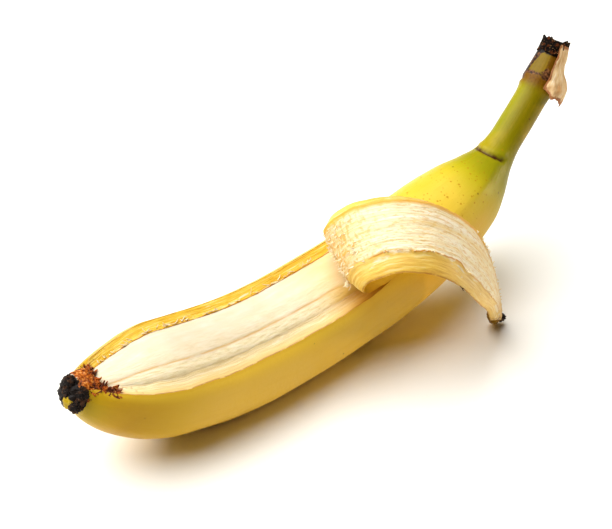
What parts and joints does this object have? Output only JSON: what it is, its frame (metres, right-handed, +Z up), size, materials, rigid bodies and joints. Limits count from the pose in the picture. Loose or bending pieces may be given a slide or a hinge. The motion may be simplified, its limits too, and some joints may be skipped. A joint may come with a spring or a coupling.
{
  "type": "peeled banana",
  "caption": "Ripe banana with one strip of peel torn open from the blossom end and folded back over the fruit, showing the cream flesh inside.",
  "frame": {"origin": "middle of the small flat on the underside that the banana lies on", "axes": "+X from blossom end towards stem, +Z up, -Y the side the peel strip hangs down on"},
  "size_m": [0.2094, 0.0597, 0.0699],
  "materials": {
    "peel_skin": "waxy smooth yellow skin, greener at the neck, cream pith inside",
    "banana_flesh": "soft moist cream flesh with faint lengthwise fibres"
  },
  "bodies": {
    "root": {"peel": "peel_skin", "flesh": "banana_flesh"}
  },
  "joints": []
}
